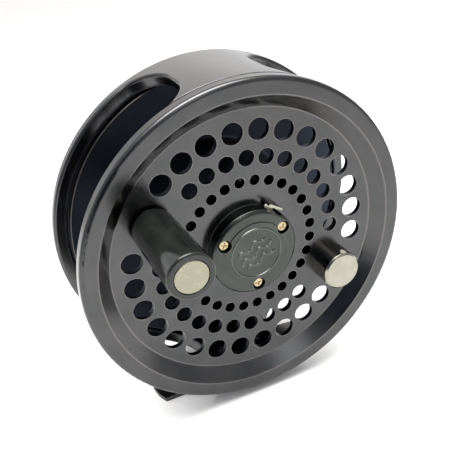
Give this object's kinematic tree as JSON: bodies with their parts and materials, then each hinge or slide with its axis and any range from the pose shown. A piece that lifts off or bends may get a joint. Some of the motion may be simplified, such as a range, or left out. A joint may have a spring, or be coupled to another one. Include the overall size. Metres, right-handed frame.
{
  "type": "fly reel",
  "caption": "Large-arbor fly reel with a perforated spool on a fixed spindle, click check, push latch, handle and counterweight, in a one-piece frame on a foot.",
  "frame": {"origin": "centre of the flat underside of the foot", "axes": "+Y along the spindle from the handle side to the back, +Z from the foot to the spindle, +X to the right seen from the handle side"},
  "size_m": [0.1001, 0.0648, 0.1025],
  "materials": {
    "black_anodised_aluminium": "satin black anodised, fine bead-blasted grain, bright at the sharp edges",
    "gloss_black_aluminium": "polished then black anodised, semi-gloss, with concentric engraved rings",
    "nickel_plate": "polished nickel plate, slightly warm, light handling marks",
    "ground_steel": "ground stainless steel with an oil film",
    "spring_steel": "blued and drawn spring steel",
    "steel_screw": "bright zinc-plated steel, turned face",
    "brass": "machined brass, lightly tarnished",
    "sintered_bronze": "oil-filled sintered bronze, fine open grain",
    "black_grip_plastic": "turned black acetal, soft sheen and faint turning rings",
    "acetal": "natural white acetal, waxy"
  },
  "bodies": {
    "reel_frame": {"frame": "black_anodised_aluminium", "foot": "black_anodised_aluminium", "foot_screws": "steel_screw", "spindle": "ground_steel", "spindle_washer": "ground_steel", "spindle_nut": "brass", "pawl_posts": "ground_steel", "pawl_clips": "spring_steel", "spring_posts": "ground_steel", "check_springs": "spring_steel", "regulator_bush": "sintered_bronze"},
    "spool_assembly": {"spool": "black_anodised_aluminium", "spool_bushes": "sintered_bronze", "check_wheel": "brass", "check_wheel_screws": "steel_screw", "plate_screws": "steel_screw", "handle_pin": "nickel_plate", "handle_washer": "nickel_plate", "counterweight": "nickel_plate", "latch_cover": "gloss_black_aluminium", "cover_screws": "brass", "latch_spring": "spring_steel"},
    "handle": {"handle_grip": "black_grip_plastic", "handle_bush": "acetal"},
    "latch": {"latch_slide": "nickel_plate"},
    "pawl_right": {"right_pawl": "ground_steel"},
    "pawl_left": {"left_pawl": "ground_steel"},
    "regulator": {"regulator_cam": "ground_steel", "regulator_knob": "black_anodised_aluminium", "regulator_screw": "steel_screw"}
  },
  "joints": [
    {"name": "spool_spin", "type": "hinge", "parent": "reel_frame", "child": "spool_assembly", "pos_m": [0, 0, 0.0525], "axis": [0, 1, 0], "continuous": true},
    {"name": "handle_spin", "type": "hinge", "parent": "spool_assembly", "child": "handle", "pos_m": [-0.02762, -0.03, 0.06743], "axis": [0, 1, 0], "continuous": true},
    {"name": "latch_press", "type": "slide", "parent": "spool_assembly", "child": "latch", "axis": [-0.5358, 0, -0.8443], "range_m": [0, 0.0011], "stiffness_N_per_m": 300, "springref_m": -0.002},
    {"name": "pawl_right_lift", "type": "hinge", "parent": "reel_frame", "child": "pawl_right", "pos_m": [0.0153, 0.01, 0.05936], "axis": [0, 1, 0], "range_deg": [0, 8], "stiffness_Nm_per_rad": 0.01, "springref_deg": -5.73},
    {"name": "pawl_left_lift", "type": "hinge", "parent": "reel_frame", "child": "pawl_left", "pos_m": [-0.0153, 0.01, 0.05936], "axis": [0, -1, 0], "range_deg": [0, 8], "stiffness_Nm_per_rad": 0.01, "springref_deg": -5.73},
    {"name": "regulator_turn", "type": "hinge", "parent": "reel_frame", "child": "regulator", "pos_m": [0, 0.017, 0.0687], "axis": [0, 1, 0], "range_deg": [-60, 60]}
  ]
}
